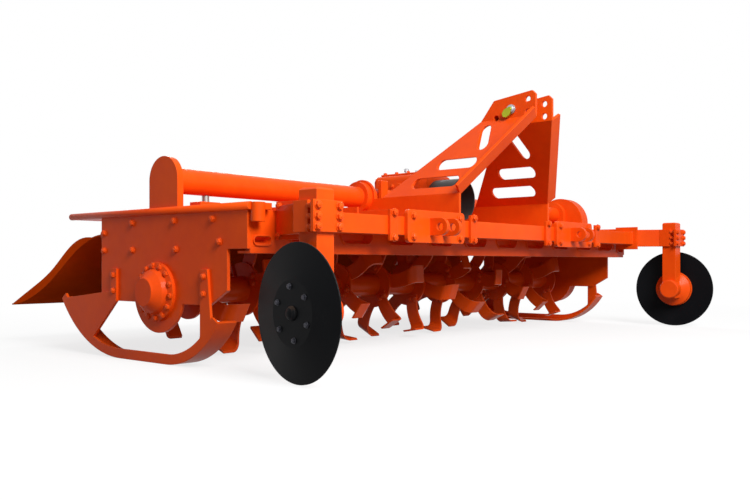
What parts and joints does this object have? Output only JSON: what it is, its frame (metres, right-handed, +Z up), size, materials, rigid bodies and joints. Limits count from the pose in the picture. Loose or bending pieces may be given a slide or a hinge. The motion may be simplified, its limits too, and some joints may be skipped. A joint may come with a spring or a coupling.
{
  "type": "rotavator",
  "caption": "Wide tractor-mounted rotavator: bladed rotor under a hood, three-point mast, black edge discs and a rear levelling board.",
  "frame": {"origin": "on the floor, at the middle of the machine's length and width", "axes": "+Z up, +X to the machine's left-hand side along the rotor, -Y towards the tractor"},
  "size_m": [2.9128, 2.0041, 1.042],
  "materials": {
    "orange_paint": "semi-gloss orange-red enamel",
    "disc_black": "satin black",
    "bright_steel": "bare turned steel",
    "guard_plastic": "black moulded plastic"
  },
  "bodies": {
    "frame": {"bearing_housing_right": "orange_paint", "board_hinge_rod": "bright_steel", "deck_ribs": "orange_paint", "disc_arm_left": "orange_paint", "disc_arm_right": "orange_paint", "disc_leg_left": "orange_paint", "disc_leg_right": "orange_paint", "drive_tube_left": "orange_paint", "drive_tube_right": "orange_paint", "front_channel": "orange_paint", "front_toolbar": "orange_paint", "gearbox_housing": "orange_paint", "hinge_ears": "orange_paint", "hood_shell": "orange_paint", "leg_clamp_left": "orange_paint", "leg_clamp_right": "orange_paint", "lower_hitch_left": "orange_paint", "lower_hitch_right": "orange_paint", "mast_pin": "bright_steel", "mast_plate_left": "orange_paint", "mast_plate_right": "orange_paint", "mast_spacers": "orange_paint", "pto_guard": "guard_plastic", "rear_cross_bar": "orange_paint", "side_drive_case_left": "orange_paint", "side_plate_left": "orange_paint", "side_plate_right": "orange_paint", "side_rail_left": "orange_paint", "side_rail_right": "orange_paint", "skid_left": "orange_paint", "skid_right": "orange_paint", "toolbar_brackets": "orange_paint", "toolbar_clamps": "orange_paint", "tube_end_plate_right": "orange_paint", "tube_foot_blocks": "orange_paint", "tube_jack_pins": "bright_steel"},
    "rotor": {"rotor_blades_left_facing": "orange_paint", "rotor_blades_right_facing": "orange_paint", "rotor_stub_left": "orange_paint", "rotor_stub_right": "orange_paint", "rotor_tube": "orange_paint"},
    "pto": {"pto_shaft": "bright_steel"},
    "disc_right": {"edge_disc_right": "disc_black", "disc_hub_right": "orange_paint"},
    "disc_left": {"edge_disc_left": "disc_black", "disc_hub_left": "orange_paint"},
    "board": {"levelling_board": "orange_paint"}
  },
  "joints": [
    {"name": "rotor_spin", "type": "hinge", "parent": "frame", "child": "rotor", "pos_m": [0, -0.082, 0.242], "axis": [1, 0, 0], "continuous": true},
    {"name": "pto_spin", "type": "hinge", "parent": "frame", "child": "pto", "pos_m": [0, -0.286, 0.622], "axis": [0, -1, 0], "continuous": true},
    {"name": "disc_right_spin", "type": "hinge", "parent": "frame", "child": "disc_right", "pos_m": [-1.43499, -0.80367, 0.2], "axis": [-0.9877, 0.1564, 0], "continuous": true},
    {"name": "disc_left_spin", "type": "hinge", "parent": "frame", "child": "disc_left", "pos_m": [1.43499, -0.80367, 0.2], "axis": [0.9877, 0.1564, 0], "continuous": true},
    {"name": "board_hinge", "type": "hinge", "parent": "frame", "child": "board", "pos_m": [0, 0.283, 0.445], "axis": [1, 0, 0], "range_deg": [-10, 22]}
  ],
  "couplings": [
    {"joint": "pto_spin", "follows": "rotor_spin", "ratio": 2.45}
  ]
}
